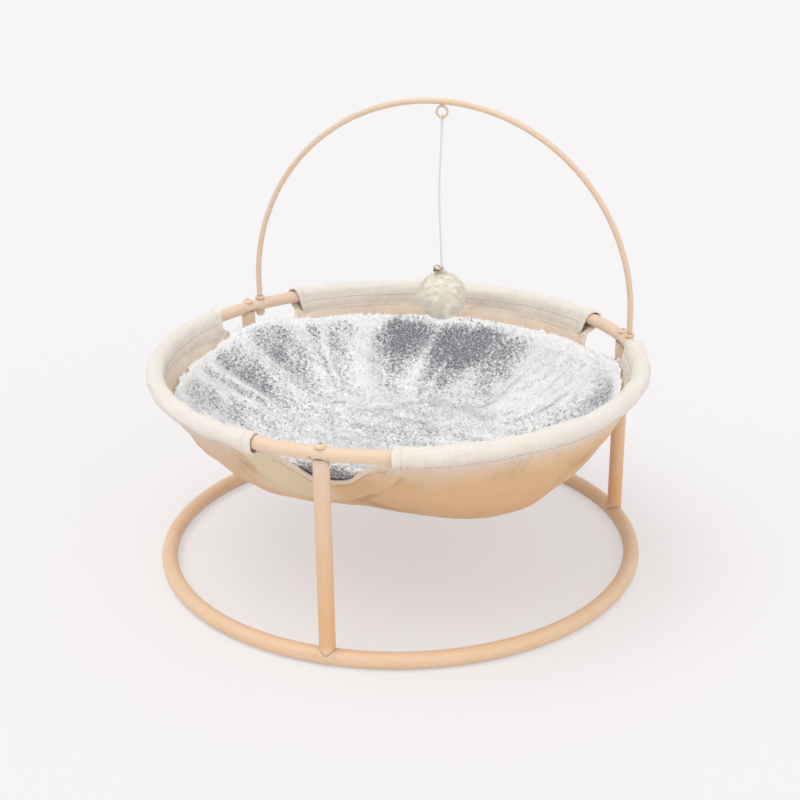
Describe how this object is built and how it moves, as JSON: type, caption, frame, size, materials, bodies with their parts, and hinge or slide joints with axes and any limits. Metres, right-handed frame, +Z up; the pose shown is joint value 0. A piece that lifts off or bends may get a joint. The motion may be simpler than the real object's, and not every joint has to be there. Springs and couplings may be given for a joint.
{
  "type": "cat lounger",
  "caption": "Canvas bowl slung in a raised round tube frame, with a loose plush pad and a pompom toy that swings under an arch.",
  "frame": {"origin": "on the floor at the middle of the base ring", "axes": "+Z up, the front leg stands towards -Y, and the toy arch spans left to right behind the middle"},
  "size_m": [0.4976, 0.4968, 0.4458],
  "materials": {
    "frame_paint": "satin powder coat in a warm peach wood tone",
    "plated_steel": "plain zinc plate",
    "bell_metal": "polished",
    "canvas": "matt cream linen weave",
    "plush": "grey plush with white frosted tips",
    "toy_cord": "pale grey twisted cord",
    "pompom": "cream wool pile"
  },
  "bodies": {
    "frame": {"base_ring": "frame_paint", "leg_front": "frame_paint", "leg_right": "frame_paint", "leg_left": "frame_paint", "rim_arc_front": "frame_paint", "rim_arc_right": "frame_paint", "rim_arc_left": "frame_paint", "leg_plug_top_front": "plated_steel", "leg_plug_top_right": "plated_steel", "leg_plug_top_left": "plated_steel", "leg_plug_bottom_front": "plated_steel", "leg_plug_bottom_right": "plated_steel", "leg_plug_bottom_left": "plated_steel", "top_screw_front": "frame_paint", "top_screw_right": "frame_paint", "top_screw_left": "frame_paint", "bottom_screw_front": "plated_steel", "bottom_screw_right": "plated_steel", "bottom_screw_left": "plated_steel", "toy_arch": "frame_paint", "arch_collar_right": "frame_paint", "arch_collar_left": "frame_paint", "arch_nut_right": "frame_paint", "arch_nut_left": "frame_paint", "toy_eye": "frame_paint", "sling_bowl": "canvas", "sleeve_front_right": "canvas", "sleeve_back": "canvas", "sleeve_left": "canvas", "plush_pad": "plush"},
    "loop": {"toy_loop": "toy_cord"},
    "cord": {"toy_cord": "toy_cord"},
    "toy": {"cord_knot": "toy_cord", "bell": "bell_metal", "bell_pea": "plated_steel", "pompom": "pompom"}
  },
  "joints": [
    {"name": "toy_side_swing", "type": "hinge", "parent": "frame", "child": "loop", "pos_m": [0.01436, 0.11929, 0.43246], "axis": [0.0698, 0.9976, 0], "range_deg": [-50, 50]},
    {"name": "toy_fore_aft_swing", "type": "hinge", "parent": "loop", "child": "cord", "pos_m": [0.01436, 0.11929, 0.42676], "axis": [0.9976, -0.0698, 0], "range_deg": [-70, 70]},
    {"name": "toy_twist", "type": "hinge", "parent": "cord", "child": "toy", "pos_m": [0.01436, 0.11929, 0.26886], "axis": [0, 0, 1], "range_deg": [-180, 180]}
  ]
}
